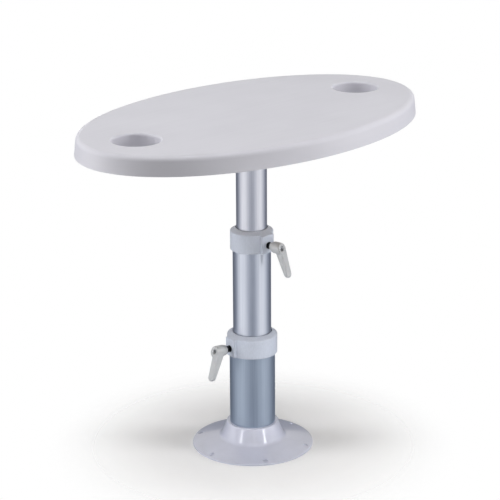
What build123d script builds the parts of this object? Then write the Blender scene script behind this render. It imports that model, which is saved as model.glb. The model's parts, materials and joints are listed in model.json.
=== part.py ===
from build123d import *
from math import cos, pi, radians, sin
import os

# A small oval table on one telescopic pole, for a caravan or camper.
# Three round tubes slide and turn in each other, and two clamp collars hold them.
# Millimetres, +Z up. The origin is on the pole's axis, on the underside of the base.
# The pole stands as it does in use: both stages drawn out, both clamps tight.

# Fits, per side
seat_gap = 0.05
running_gap = 0.08
free_gap = 0.4
pad_gap = 0.3

# Tubes
lower_tube_d = 90.0
middle_tube_d = 75.0
upper_tube_d = 60.0
lower_tube_wall = 3.0
middle_tube_wall = 3.0
upper_tube_wall = 3.0
lower_tube_length = 224.5
middle_tube_length = 269.5
upper_tube_length = 282.0
tube_edge_break = 0.6

# How far each stage can still be drawn out before its foot bush meets the sleeve above
lower_stage_reserve = 9.0
upper_stage_reserve = 36.0

# Base casting
base_d = 240.0
base_rim_height = 3.0
base_disc_rise = 14.0
base_height = 48.5
base_skin = 5.0
base_rim_width = 16.0
base_hub_wall = 10.0
base_edge_round = 1.4
neck_wall = 6.0
neck_flare = 13.0
neck_foot_round = 9.0
neck_top_round = 2.0
tube_seat_z = 5.0
base_rib_count = 6
base_rib_thickness = 4.0
base_rib_root = 2.0
floor_hole_count = 6
floor_hole_d = 5.5
floor_hole_sink_d = 10.0
floor_hole_inset = 10.0

# Clamp collars
collar_height = 44.0
collar_wall = 4.45
collar_lip = 7.0
collar_lip_gap = 1.4
collar_bevel = 6.0
collar_bevel_round = 2.5
collar_edge_round = 1.5
boss_width = 32.0
boss_proud = 3.0
boss_round = 2.5
clamp_below_top = 28.0
lower_clamp_angle = 170.0
upper_clamp_angle = -87.0

# Guide sleeves and foot bushes
sleeve_length = 33.5
sleeve_flange = 2.5
bush_height = 16.0
bush_floor = 3.0
groove_depth = 0.8
groove_height = 3.0
groove_rise = 6.0

# Threaded bushes and pressure pads
insert_shank_d = 11.0
insert_flange_d = 13.5
insert_flange = 1.5
insert_setback = 0.7
pad_d = 12.0
pad_back_gap = 0.7

# Clamp screws, measured outwards from the face of the boss
screw_d = 8.0
screw_tip_d = 6.0
screw_tip = 2.0
screw_neck_start = 2.3
screw_neck_d = 9.5
screw_skirt_start = 5.8
screw_skirt_d = 13.6
screw_tooth_start = 13.5
screw_head_end = 17.0
tooth_count = 24
tooth_height = 0.6
tooth_gap = 0.15

# Lever handles, measured outwards from the face of the boss and down from the screw's axis
handle_hang = 7.0
handle_start = 10.2
handle_base_d = 18.0
handle_hub_d = 22.0
handle_cone_end = 17.0
handle_face = 36.0
handle_web = 3.0
handle_bore_gap = 0.3
handle_web_hole_d = 5.8
chamber_d = 8.4
arm_root = 17.5
arm_drop = 56.5
arm_lean = 16.5
arm_tip_thickness = 9.0
arm_root_width = 17.0
arm_tip_width = 15.5
arm_round = 3.2
arm_overrun = 1.2
hub_proud = 1.0
hub_face_round = 3.4

# Lever screws and springs
lever_screw_d = 5.0
lever_screw_depth = 7.5
lever_head_d = 7.6
lever_head_height = 3.2
lever_socket_d = 4.0
lever_socket_depth = 2.0
spring_space = 10.0
spring_wire_d = 0.8
spring_d = 7.8
spring_turns = 4

# Table top
table_length = 776.0
table_width = 466.0
table_edge = 36.0
table_draft = 4.0
table_round = 10.0
table_shell = 4.0
cup_spacing = 570.0
cup_d = 90.0
cup_depth = 30.0
cup_draft = 1.5
cup_wall = 3.0
cup_lip_round = 4.5
cup_floor_round = 4.0

# Board under the top, with its screws
board_thickness = 12.0
board_recess = 3.0
board_gap = 0.5
board_cup_gap = 1.0
board_screw_count = 8
board_screw_inset = 38.0
board_screw_d = 4.0
board_screw_head_d = 8.0
board_screw_length = 22.0
board_boss_d = 10.0

# Bracket between the pole and the board, with its screws
bracket_d = 170.0
bracket_plate = 6.0
bracket_edge_round = 2.0
spigot_length = 45.0
spigot_wall = 7.0
bracket_screw_count = 6
bracket_screw_circle_d = 140.0
bracket_screw_d = 4.5
bracket_screw_head_d = 9.0
bracket_screw_length = 15.0
tube_screw_count = 3
tube_screw_drop = 22.0
tube_screw_d = 5.0
tube_screw_head_d = 9.0
tube_screw_length = 8.0
tube_screw_sunk = 0.4
drive_share = 0.45
drive_depth = 1.6

# Radii and heights that follow from the sizes above
lower_tube_r = lower_tube_d / 2
middle_tube_r = middle_tube_d / 2
upper_tube_r = upper_tube_d / 2
lower_bore_r = lower_tube_r - lower_tube_wall
middle_bore_r = middle_tube_r - middle_tube_wall
upper_bore_r = upper_tube_r - upper_tube_wall

lower_tube_top = tube_seat_z + lower_tube_length
lower_sleeve_bottom = lower_tube_top - sleeve_length
middle_foot = lower_sleeve_bottom - lower_stage_reserve - bush_height + bush_floor
middle_tube_top = middle_foot + middle_tube_length
upper_sleeve_bottom = middle_tube_top - sleeve_length
upper_foot = upper_sleeve_bottom - upper_stage_reserve - bush_height + bush_floor
upper_tube_top = upper_foot + upper_tube_length

lower_collar_top = lower_tube_top + sleeve_flange + collar_lip
upper_collar_top = middle_tube_top + sleeve_flange + collar_lip
lower_collar_r = lower_tube_r + seat_gap + collar_wall
upper_collar_r = middle_tube_r + seat_gap + collar_wall
lower_boss_r = lower_collar_r + boss_proud
upper_boss_r = upper_collar_r + boss_proud

board_bottom = upper_tube_top + bracket_plate
board_top = board_bottom + board_thickness
table_bottom = board_bottom - board_recess
table_top_z = table_bottom + table_edge
table_a = table_length / 2
table_b = table_width / 2

os.makedirs("parts", exist_ok=True)


def save(piece, name):
    """Label a finished piece and write it."""
    piece.part.label = name
    export_step(piece.part, f"parts/{name}.step")


def clamp_plane(face_r, angle, height):
    """Plane on the face of a boss: x sideways, y up, z outwards along the clamp screw."""
    turn = radians(angle)
    return Plane(
        origin=(face_r * cos(turn), face_r * sin(turn), height),
        x_dir=(-sin(turn), cos(turn), 0),
        z_dir=(cos(turn), sin(turn), 0),
    )


def section_plane(clamp):
    """Plane through the clamp screw's axis: x outwards along the screw, y down."""
    return Plane(origin=clamp.origin, x_dir=clamp.z_dir, z_dir=clamp.x_dir)


def corner(sketch, x, y):
    """The corner of a sketch nearest to a point."""
    return sketch.vertices().sort_by_distance((x, y))[0]


def pad_back(bore_r):
    """Distance from the pole's axis to the back of a pressure pad, with room in the bore to draw back."""
    return ((bore_r - pad_back_gap) ** 2 - (pad_d / 2) ** 2) ** 0.5


def toothed_outline(crest_r):
    """Corners of a serrated round with pointed teeth."""
    points = []
    for step in range(2 * tooth_count):
        turn = pi * step / tooth_count
        radius = crest_r - tooth_height * (step % 2)
        points.append((radius * cos(turn), radius * sin(turn)))
    return points


lower_clamp = clamp_plane(lower_boss_r, lower_clamp_angle, lower_collar_top - clamp_below_top)
upper_clamp = clamp_plane(upper_boss_r, upper_clamp_angle, upper_collar_top - clamp_below_top)

# Base casting: flared neck, gently sloping disc, hollow ribbed underside
base_r = base_d / 2
socket_r = lower_tube_r + seat_gap
seat_r = lower_bore_r + free_gap
neck_top_r = socket_r + neck_wall
neck_foot_r = neck_top_r + neck_flare
disc_top = base_rim_height + base_disc_rise
hub_r = socket_r + base_hub_wall
rim_r = base_r - base_rim_width
disc_slope = base_disc_rise / (base_r - neck_foot_r)
cavity_rim = base_rim_height + disc_slope * base_rim_width - base_skin
cavity_foot = disc_top - base_skin
cavity = [(hub_r, 0), (rim_r, 0), (rim_r, cavity_rim), (neck_foot_r, cavity_foot), (hub_r, cavity_foot)]
rib_profile = [
    (hub_r - base_rib_root, 0),
    (rim_r + base_rib_root, 0),
    (rim_r + base_rib_root, cavity_rim + base_rib_root / 2),
    (neck_foot_r, cavity_foot + base_rib_root),
    (hub_r - base_rib_root, cavity_foot + base_rib_root),
]
floor_hole_r = base_r - floor_hole_inset
floor_hole_spot = base_rim_height + disc_slope * (floor_hole_inset - floor_hole_sink_d / 2) - free_gap

with BuildPart() as base_flange:
    with BuildSketch(Plane.XZ) as base_profile:
        with BuildLine():
            Polyline(
                (seat_r, 0),
                (base_r, 0),
                (base_r, base_rim_height),
                (neck_foot_r, disc_top),
                (neck_top_r, base_height),
                (socket_r, base_height),
                (socket_r, tube_seat_z),
                (seat_r, tube_seat_z),
                close=True,
            )
        make_face()
        fillet(corner(base_profile, base_r, base_rim_height), base_edge_round)
        fillet(corner(base_profile, neck_foot_r, disc_top), neck_foot_round)
        fillet(corner(base_profile, neck_top_r, base_height), neck_top_round)
    revolve(axis=Axis.Z)
    with BuildSketch(Plane.XZ):
        Polygon(*cavity, align=None)
    revolve(axis=Axis.Z, mode=Mode.SUBTRACT)
    for rib in range(base_rib_count):
        rib_turn = 2 * pi * (rib + 0.5) / base_rib_count
        rib_plane = Plane(
            origin=(0, 0, 0),
            x_dir=(cos(rib_turn), sin(rib_turn), 0),
            z_dir=(sin(rib_turn), -cos(rib_turn), 0),
        )
        with BuildSketch(rib_plane):
            Polygon(*rib_profile, align=None)
        extrude(amount=base_rib_thickness / 2, both=True)
    with BuildSketch(Plane.XY.offset(floor_hole_spot)):
        with PolarLocations(floor_hole_r, floor_hole_count):
            Circle(floor_hole_sink_d / 2)
    extrude(amount=base_disc_rise, mode=Mode.SUBTRACT)
    with Locations((0, 0, floor_hole_spot)):
        with PolarLocations(floor_hole_r, floor_hole_count):
            CounterSinkHole(floor_hole_d / 2, floor_hole_sink_d / 2)
save(base_flange, "base_flange")


def make_tube(radius, wall, bottom, length):
    """A plain tube with the edges of its upper end broken."""
    with BuildPart() as tube:
        with BuildSketch(Plane.XY.offset(bottom)):
            Circle(radius)
            Circle(radius - wall, mode=Mode.SUBTRACT)
        extrude(amount=length)
        chamfer(tube.edges().group_by(Axis.Z)[-1], tube_edge_break)
    return tube


def cut_insert_hole(tube, clamp, boss_r, bore_r):
    """Cut the hole that the threaded bush passes through, in one wall of a tube."""
    with BuildPart() as drilled:
        add(tube.part)
        with BuildSketch(clamp):
            Circle(insert_shank_d / 2)
        extrude(amount=-(boss_r - bore_r / 2), mode=Mode.SUBTRACT)
    return drilled


def cut_groove(tube, radius, foot):
    """Turn the groove in which the rib of a foot bush sits."""
    with BuildPart() as grooved:
        add(tube.part)
        with BuildSketch(Plane.XY.offset(foot + groove_rise)):
            Circle(radius + free_gap)
            Circle(radius - groove_depth, mode=Mode.SUBTRACT)
        extrude(amount=groove_height, mode=Mode.SUBTRACT)
    return grooved


# Tubes
lower_tube = make_tube(lower_tube_r, lower_tube_wall, tube_seat_z, lower_tube_length)
lower_tube = cut_insert_hole(lower_tube, lower_clamp, lower_boss_r, lower_bore_r)
save(lower_tube, "lower_tube")

middle_tube = make_tube(middle_tube_r, middle_tube_wall, middle_foot, middle_tube_length)
middle_tube = cut_insert_hole(middle_tube, upper_clamp, upper_boss_r, middle_bore_r)
middle_tube = cut_groove(middle_tube, middle_tube_r, middle_foot)
save(middle_tube, "middle_tube")

tube_screw_z = upper_tube_top - tube_screw_drop
tube_screw_planes = []
for number in range(tube_screw_count):
    screw_turn = 360 * number / tube_screw_count
    tube_screw_planes.append(clamp_plane(upper_tube_r - tube_screw_sunk, screw_turn, tube_screw_z))
tube_screw_head = (tube_screw_head_d - tube_screw_d) / 2

plain_upper_tube = make_tube(upper_tube_r, upper_tube_wall, upper_foot, upper_tube_length)
plain_upper_tube = cut_groove(plain_upper_tube, upper_tube_r, upper_foot)
with BuildPart() as upper_tube:
    add(plain_upper_tube.part)
    for screw_plane in tube_screw_planes:
        with BuildSketch(section_plane(screw_plane)):
            with BuildLine():
                Polyline(
                    (upper_tube_wall, 0),
                    (upper_tube_wall, tube_screw_head_d / 2 + seat_gap),
                    (0, tube_screw_head_d / 2 + seat_gap),
                    (-tube_screw_head, tube_screw_d / 2 + seat_gap),
                    (-upper_tube_wall - free_gap, tube_screw_d / 2 + seat_gap),
                    (-upper_tube_wall - free_gap, 0),
                    close=True,
                )
            make_face()
        revolve(axis=Axis(screw_plane.origin, screw_plane.z_dir), mode=Mode.SUBTRACT)
save(upper_tube, "upper_tube")


def make_collar(tube_r, slide_r, collar_r, boss_r, top, clamp, angle):
    """A clamp collar: a ring over the mouth of a tube, with a flat boss and a conical top."""
    bottom = top - collar_height
    lip_r = slide_r + collar_lip_gap
    boss_side = boss_r - (collar_r**2 - (boss_width / 2) ** 2) ** 0.5
    bevel_slope = collar_bevel / (collar_r - lip_r)
    cone_r = boss_r + boss_width
    with BuildPart() as collar:
        with BuildSketch(Plane.XY.offset(bottom).rotated((0, 0, angle))) as outline:
            Circle(collar_r)
            with Locations((boss_r / 2, 0)):
                Rectangle(boss_r, boss_width)
            fillet(corner(outline, boss_r, boss_width / 2), min(boss_round, boss_side / 2))
            fillet(corner(outline, boss_r, -boss_width / 2), min(boss_round, boss_side / 2))
        extrude(amount=collar_height)
        fillet(collar.edges().group_by(Axis.Z)[0], collar_edge_round)
        with BuildSketch(Plane.XZ):
            with BuildLine():
                Polyline(
                    (lip_r, top),
                    (cone_r, top - bevel_slope * (cone_r - lip_r)),
                    (cone_r, top + collar_lip),
                    (lip_r, top + collar_lip),
                    close=True,
                )
            make_face()
        revolve(axis=Axis.Z, mode=Mode.SUBTRACT)
        bevel_edges = collar.edges().filter_by(
            lambda edge: bottom + collar_height / 2 < edge.center().Z < top - free_gap
            and edge.bounding_box().size.Z < collar_bevel
        )
        fillet(bevel_edges, collar_bevel_round)
        with BuildSketch(Plane.XY.offset(bottom)):
            Circle(tube_r + seat_gap)
        extrude(amount=collar_height - collar_lip, mode=Mode.SUBTRACT)
        with BuildSketch(Plane.XY.offset(bottom)):
            Circle(lip_r)
        extrude(amount=collar_height, mode=Mode.SUBTRACT)
        with BuildSketch(clamp):
            Circle(insert_shank_d / 2)
        extrude(amount=-(boss_r - slide_r), mode=Mode.SUBTRACT)
    return collar


# Collars
lower_collar = make_collar(
    lower_tube_r, middle_tube_r, lower_collar_r, lower_boss_r, lower_collar_top, lower_clamp, lower_clamp_angle
)
save(lower_collar, "lower_collar")
upper_collar = make_collar(
    middle_tube_r, upper_tube_r, upper_collar_r, upper_boss_r, upper_collar_top, upper_clamp, upper_clamp_angle
)
save(upper_collar, "upper_collar")


def make_sleeve(tube_r, bore_r, slide_r, tube_top, clamp, boss_r):
    """A flanged liner in the mouth of a tube, with a round window for the pressure pad."""
    inner_r = slide_r + running_gap
    with BuildPart() as sleeve:
        with BuildSketch(Plane.XY.offset(tube_top - sleeve_length)):
            Circle(bore_r - seat_gap)
            Circle(inner_r, mode=Mode.SUBTRACT)
        extrude(amount=sleeve_length)
        with BuildSketch(Plane.XY.offset(tube_top)):
            Circle(tube_r)
            Circle(inner_r, mode=Mode.SUBTRACT)
        extrude(amount=sleeve_flange)
        with BuildSketch(clamp):
            Circle(pad_d / 2 + free_gap)
        extrude(amount=-(boss_r - slide_r / 2), mode=Mode.SUBTRACT)
    return sleeve


# Guide sleeves
lower_sleeve = make_sleeve(lower_tube_r, lower_bore_r, middle_tube_r, lower_tube_top, lower_clamp, lower_boss_r)
save(lower_sleeve, "lower_guide_sleeve")
upper_sleeve = make_sleeve(middle_tube_r, middle_bore_r, upper_tube_r, middle_tube_top, upper_clamp, upper_boss_r)
save(upper_sleeve, "upper_guide_sleeve")


def make_foot_bush(tube_r, tube_bore_r, outer_bore_r, foot):
    """A ring that snaps into the groove of a tube's foot and slides in the tube outside it."""
    outer_r = outer_bore_r - running_gap
    inner_r = tube_r + running_gap
    rib_r = inner_r - groove_depth
    seat = foot - running_gap
    rib_bottom = foot + groove_rise + running_gap
    rib_top = foot + groove_rise + groove_height - running_gap
    with BuildPart() as bush:
        with BuildSketch(Plane.XZ):
            with BuildLine():
                Polyline(
                    (tube_bore_r, foot - bush_floor),
                    (outer_r, foot - bush_floor),
                    (outer_r, foot - bush_floor + bush_height),
                    (inner_r, foot - bush_floor + bush_height),
                    (inner_r, rib_top),
                    (rib_r, rib_top),
                    (rib_r, rib_bottom),
                    (inner_r, rib_bottom),
                    (inner_r, seat),
                    (tube_bore_r, seat),
                    close=True,
                )
            make_face()
        revolve(axis=Axis.Z)
    return bush


# Foot bushes
middle_bush = make_foot_bush(middle_tube_r, middle_bore_r, lower_bore_r, middle_foot)
save(middle_bush, "middle_foot_bush")
upper_bush = make_foot_bush(upper_tube_r, upper_bore_r, middle_bore_r, upper_foot)
save(upper_bush, "upper_foot_bush")


def make_threaded_bush(clamp, boss_r, bore_r):
    """A flanged steel bush through the boss and the wall of the tube, which pins the collar."""
    with BuildPart() as insert:
        with BuildSketch(clamp):
            Circle(insert_shank_d / 2 - seat_gap)
        extrude(amount=-(boss_r - bore_r - insert_setback))
        with BuildSketch(clamp):
            Circle(insert_flange_d / 2)
        extrude(amount=insert_flange)
        with BuildSketch(clamp.offset(insert_flange)):
            Circle(screw_d / 2 + seat_gap)
        extrude(amount=-boss_r, mode=Mode.SUBTRACT)
    return insert


def make_pressure_pad(clamp, boss_r, bore_r, slide_r):
    """A round pad whose inner face follows the tube that it presses on."""
    back = pad_back(bore_r) - boss_r
    with BuildPart() as pad:
        with BuildSketch(clamp.offset(back)):
            Circle(pad_d / 2)
        extrude(amount=slide_r / 2 - pad_back(bore_r))
        with BuildSketch(Plane.XY.offset(clamp.origin.Z - pad_d)):
            Circle(slide_r + pad_gap)
        extrude(amount=2 * pad_d, mode=Mode.SUBTRACT)
    return pad


def make_clamp_screw(clamp, boss_r, bore_r):
    """The clamp screw: plain tip on the pad, shank in the bush, neck and toothed head."""
    tip = pad_back(bore_r) - boss_r
    root_r = screw_skirt_d / 2 - tooth_height
    hole_r = lever_screw_d / 2 + seat_gap
    hole_end = lever_screw_depth - free_gap
    with BuildPart() as screw:
        with BuildSketch(section_plane(clamp)):
            with BuildLine():
                Polyline(
                    (tip, 0),
                    (tip, screw_tip_d / 2),
                    (tip + screw_tip, screw_tip_d / 2),
                    (tip + screw_tip, screw_d / 2),
                    (screw_neck_start, screw_d / 2),
                    (screw_neck_start, screw_neck_d / 2),
                    (screw_skirt_start, screw_skirt_d / 2),
                    (screw_tooth_start - tooth_height, screw_skirt_d / 2),
                    (screw_tooth_start, root_r),
                    (screw_head_end, root_r),
                    (screw_head_end, hole_r),
                    (hole_end, hole_r),
                    (hole_end, 0),
                    close=True,
                )
            make_face()
        revolve(axis=Axis(clamp.origin, clamp.z_dir))
        with BuildSketch(clamp.offset(screw_tooth_start)):
            Polygon(*toothed_outline(screw_skirt_d / 2), align=None)
            Circle(hole_r, mode=Mode.SUBTRACT)
        extrude(amount=screw_head_end - screw_tooth_start)
    return screw


def make_handle(clamp):
    """A die-cast lever: toothed hub, slanted outer face and a tapered arm that leans outwards."""
    turned = clamp.rotated((0, 0, handle_hang))
    side = section_plane(turned)
    screw_axis = Axis(clamp.origin, clamp.z_dir)
    hub_r = handle_hub_d / 2
    tip_u = handle_face + arm_lean
    outer_end = handle_face + arm_overrun * arm_lean
    inner_end = arm_root + arm_overrun * (tip_u - arm_tip_thickness - arm_root)
    face_normal = side.x_dir * arm_drop - side.y_dir * arm_lean
    slant = Plane(origin=clamp.origin + clamp.z_dir * (handle_face + hub_proud), z_dir=face_normal)
    socket_end = screw_head_end + free_gap
    chamber_start = socket_end + handle_web
    bore_r = screw_skirt_d / 2 + handle_bore_gap
    with BuildPart() as arm:
        with BuildSketch(side):
            with BuildLine():
                Polyline(
                    (arm_root, 0),
                    (handle_face, 0),
                    (outer_end, arm_overrun * arm_drop),
                    (inner_end, arm_overrun * arm_drop),
                    close=True,
                )
            make_face()
        extrude(amount=hub_r, both=True)
        with BuildSketch(turned):
            with Locations((0, arm_root_width / 2)):
                Circle(arm_root_width / 2)
            with Locations((0, arm_tip_width / 2 - arm_drop)):
                Circle(arm_tip_width / 2)
            make_hull()
        extrude(amount=tip_u + hub_r, mode=Mode.INTERSECT)
        fillet(arm.edges().filter_by(lambda edge: edge.length > arm_drop / 2), arm_round)
    with BuildPart() as handle:
        with BuildSketch(side):
            with BuildLine():
                Polyline(
                    (handle_start, 0),
                    (handle_start, handle_base_d / 2),
                    (handle_cone_end, hub_r),
                    (tip_u, hub_r),
                    (tip_u, 0),
                    close=True,
                )
            make_face()
        revolve(axis=screw_axis)
        split(bisect_by=slant, keep=Keep.BOTTOM)
        fillet(handle.faces().sort_by(screw_axis)[-1].edges(), hub_face_round)
        add(arm.part)
        with BuildSketch(clamp):
            Circle(bore_r)
        extrude(amount=screw_tooth_start, mode=Mode.SUBTRACT)
        with BuildSketch(clamp):
            Polygon(*toothed_outline(screw_skirt_d / 2 + tooth_gap), align=None)
        extrude(amount=socket_end, mode=Mode.SUBTRACT)
        with BuildSketch(clamp):
            Circle(handle_web_hole_d / 2)
        extrude(amount=chamber_start, mode=Mode.SUBTRACT)
        with BuildSketch(clamp.offset(chamber_start)):
            Circle(chamber_d / 2)
        extrude(amount=tip_u, mode=Mode.SUBTRACT)
    return handle


chamber_floor = screw_head_end + free_gap + handle_web
lever_head_seat = chamber_floor + spring_space


def make_lever_screw(clamp):
    """The screw that holds a lever on its clamp screw, with a hexagon socket."""
    with BuildPart() as screw:
        with BuildSketch(clamp.offset(lever_screw_depth)):
            Circle(lever_screw_d / 2)
        extrude(amount=lever_head_seat - lever_screw_depth)
        with BuildSketch(clamp.offset(lever_head_seat)):
            Circle(lever_head_d / 2)
        extrude(amount=lever_head_height)
        with BuildSketch(clamp.offset(lever_head_seat + lever_head_height)):
            RegularPolygon(lever_socket_d / 2, 6)
        extrude(amount=-lever_socket_depth, mode=Mode.SUBTRACT)
    return screw


def make_spring(clamp):
    """The coil spring round the lever screw, between its head and the web of the lever."""
    coil_height = spring_space - spring_wire_d - 2 * seat_gap
    coil_start = clamp.offset(chamber_floor + spring_wire_d / 2 + seat_gap)
    with BuildPart() as spring:
        with BuildLine() as coil:
            Helix(
                pitch=coil_height / spring_turns,
                height=coil_height,
                radius=(spring_d - spring_wire_d) / 2,
                center=coil_start.origin,
                direction=coil_start.z_dir,
            )
        with BuildSketch(Plane(origin=coil.line @ 0, z_dir=coil.line % 0)):
            Circle(spring_wire_d / 2)
        sweep(path=coil.line, is_frenet=True)
    return spring


# Both clamps, each on its own collar
for stage, clamp, boss_r, bore_r, slide_r in (
    ("lower", lower_clamp, lower_boss_r, lower_bore_r, middle_tube_r),
    ("upper", upper_clamp, upper_boss_r, middle_bore_r, upper_tube_r),
):
    save(make_threaded_bush(clamp, boss_r, bore_r), f"{stage}_threaded_bush")
    save(make_pressure_pad(clamp, boss_r, bore_r, slide_r), f"{stage}_pressure_pad")
    save(make_clamp_screw(clamp, boss_r, bore_r), f"{stage}_clamp_screw")
    save(make_handle(clamp), f"{stage}_lever_handle")
    save(make_lever_screw(clamp), f"{stage}_lever_screw")
    save(make_spring(clamp), f"{stage}_lever_spring")

# Table top: one moulded shell with a drafted edge, two cup pots and screw bosses
cup_r = cup_d / 2
pot_r = cup_r + cup_wall
cup_floor = table_top_z - cup_depth
shell_ceiling = table_top_z - table_shell
board_inset = table_shell + table_draft * (board_top - table_bottom) / table_edge + board_gap
board_screw_places = []
for number in range(board_screw_count):
    screw_turn = 2 * pi * (number + 0.5) / board_screw_count
    board_screw_x = (table_a - board_screw_inset) * cos(screw_turn)
    board_screw_y = (table_b - board_screw_inset) * sin(screw_turn)
    board_screw_places.append((board_screw_x, board_screw_y))
cup_places = [(-cup_spacing / 2, 0), (cup_spacing / 2, 0)]

with BuildPart() as hollow:
    with BuildSketch(Plane.XY.offset(table_bottom)):
        Ellipse(table_a - table_shell, table_b - table_shell)
    with BuildSketch(Plane.XY.offset(shell_ceiling)):
        ceiling_inset = table_shell + table_draft * (table_edge - table_shell) / table_edge
        Ellipse(table_a - ceiling_inset, table_b - ceiling_inset)
    loft()
    fillet(hollow.edges().group_by(Axis.Z)[-1], table_round - table_shell)

with BuildPart() as table_top:
    with BuildSketch(Plane.XY.offset(table_bottom)):
        Ellipse(table_a, table_b)
    with BuildSketch(Plane.XY.offset(table_top_z)):
        Ellipse(table_a - table_draft, table_b - table_draft)
    loft()
    fillet(table_top.edges().group_by(Axis.Z)[-1], table_round)
    add(hollow.part, mode=Mode.SUBTRACT)
    with BuildSketch(Plane.XY.offset(cup_floor - cup_wall)):
        with Locations(*cup_places):
            Circle(pot_r)
    extrude(amount=cup_depth + cup_wall - table_shell / 2)
    with BuildSketch(Plane.XY.offset(board_top)):
        with Locations(*board_screw_places):
            Circle(board_boss_d / 2)
    extrude(amount=table_top_z - table_shell / 2 - board_top)
    for cup_x, cup_y in cup_places:
        with BuildSketch(Plane.XY.offset(cup_floor)):
            with Locations((cup_x, cup_y)):
                Circle(cup_r - cup_draft)
        with BuildSketch(Plane.XY.offset(table_top_z)):
            with Locations((cup_x, cup_y)):
                Circle(cup_r)
        loft(mode=Mode.SUBTRACT)
    cup_rims = table_top.edges().filter_by(GeomType.CIRCLE).group_by(Axis.Z)[-1]
    fillet(cup_rims, cup_lip_round)
    cup_floors = table_top.faces().filter_by(GeomType.PLANE).filter_by(
        lambda face: abs(face.center().Z - cup_floor) < seat_gap
    )
    fillet(cup_floors.edges(), cup_floor_round)
    with BuildSketch(Plane.XY.offset(board_top)):
        with Locations(*board_screw_places):
            Circle(board_screw_d / 2 + seat_gap)
    extrude(amount=board_screw_length - board_thickness + free_gap, mode=Mode.SUBTRACT)
save(table_top, "table_top")

# Board: fills the underside of the shell, with holes for the pots and all its screws
bracket_screw_end = bracket_screw_length - bracket_plate
board_face = Plane(origin=(0, 0, board_bottom), x_dir=(1, 0, 0), z_dir=(0, 0, -1))
with BuildPart() as table_board:
    with BuildSketch(Plane.XY.offset(board_bottom)):
        Ellipse(table_a - board_inset, table_b - board_inset)
        with Locations(*cup_places):
            Circle(pot_r + board_cup_gap, mode=Mode.SUBTRACT)
    extrude(amount=board_thickness)
    with BuildSketch(Plane.XY.offset(board_bottom)):
        with PolarLocations(bracket_screw_circle_d / 2, bracket_screw_count):
            Circle(bracket_screw_d / 2 + seat_gap)
    extrude(amount=bracket_screw_end + free_gap, mode=Mode.SUBTRACT)
    with Locations(board_face):
        with Locations(*board_screw_places):
            CounterSinkHole(board_screw_d / 2 + seat_gap, board_screw_head_d / 2 + seat_gap, counter_sink_angle=90)
save(table_board, "table_board")


def make_sunk_screws(seat, places, shank_d, head_d, length):
    """Countersunk screws with a hexagon drive, seen from the plane that their heads lie in."""
    cone = (head_d - shank_d) / 2
    with BuildPart() as screws:
        with BuildSketch(seat):
            with Locations(*places):
                Circle(shank_d / 2)
        extrude(amount=-length)
        for place in places:
            with BuildSketch(seat):
                with Locations(place):
                    Circle(head_d / 2)
            with BuildSketch(seat.offset(-cone)):
                with Locations(place):
                    Circle(shank_d / 2)
            loft()
        with BuildSketch(seat):
            with Locations(*places):
                RegularPolygon(drive_share * shank_d, 6)
        extrude(amount=-drive_depth, mode=Mode.SUBTRACT)
    return screws


def polar_places(circle_d, count):
    """Places spread evenly on a circle."""
    places = []
    for number in range(count):
        turn = 2 * pi * number / count
        places.append((circle_d / 2 * cos(turn), circle_d / 2 * sin(turn)))
    return places


bracket_face = Plane(origin=(0, 0, upper_tube_top), x_dir=(1, 0, 0), z_dir=(0, 0, -1))
save(
    make_sunk_screws(
        board_face, board_screw_places, board_screw_d, board_screw_head_d, board_screw_length
    ),
    "table_board_screws",
)
save(
    make_sunk_screws(
        bracket_face,
        polar_places(bracket_screw_circle_d, bracket_screw_count),
        bracket_screw_d,
        bracket_screw_head_d,
        bracket_screw_length,
    ),
    "top_bracket_screws",
)

# Bracket: round plate under the board with a hollow spigot inside the upper tube
spigot_r = upper_bore_r - seat_gap
with BuildPart() as top_bracket:
    with BuildSketch(Plane.XY.offset(upper_tube_top)):
        Circle(bracket_d / 2)
    extrude(amount=bracket_plate)
    fillet(top_bracket.edges().group_by(Axis.Z)[0], bracket_edge_round)
    with BuildSketch(Plane.XY.offset(upper_tube_top)):
        Circle(spigot_r)
        Circle(spigot_r - spigot_wall, mode=Mode.SUBTRACT)
    extrude(amount=-spigot_length)
    with Locations(bracket_face):
        with PolarLocations(bracket_screw_circle_d / 2, bracket_screw_count):
            CounterSinkHole(
                bracket_screw_d / 2 + seat_gap, bracket_screw_head_d / 2 + seat_gap, counter_sink_angle=90
            )
    for screw_plane in tube_screw_planes:
        with BuildSketch(screw_plane):
            Circle(tube_screw_d / 2 + seat_gap)
        extrude(amount=-(tube_screw_length + free_gap), mode=Mode.SUBTRACT)
save(top_bracket, "top_bracket")

# Screws through the tube into the spigot, sunk below the tube's surface
with BuildPart() as tube_screws:
    for screw_plane in tube_screw_planes:
        add(make_sunk_screws(screw_plane, [(0, 0)], tube_screw_d, tube_screw_head_d, tube_screw_length).part)
save(tube_screws, "pole_head_screws")
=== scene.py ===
import json
import logging
import math
from dataclasses import dataclass
from enum import Enum
from typing import Any, Callable

import bmesh
import bpy
from mathutils import Matrix, Vector


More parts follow.
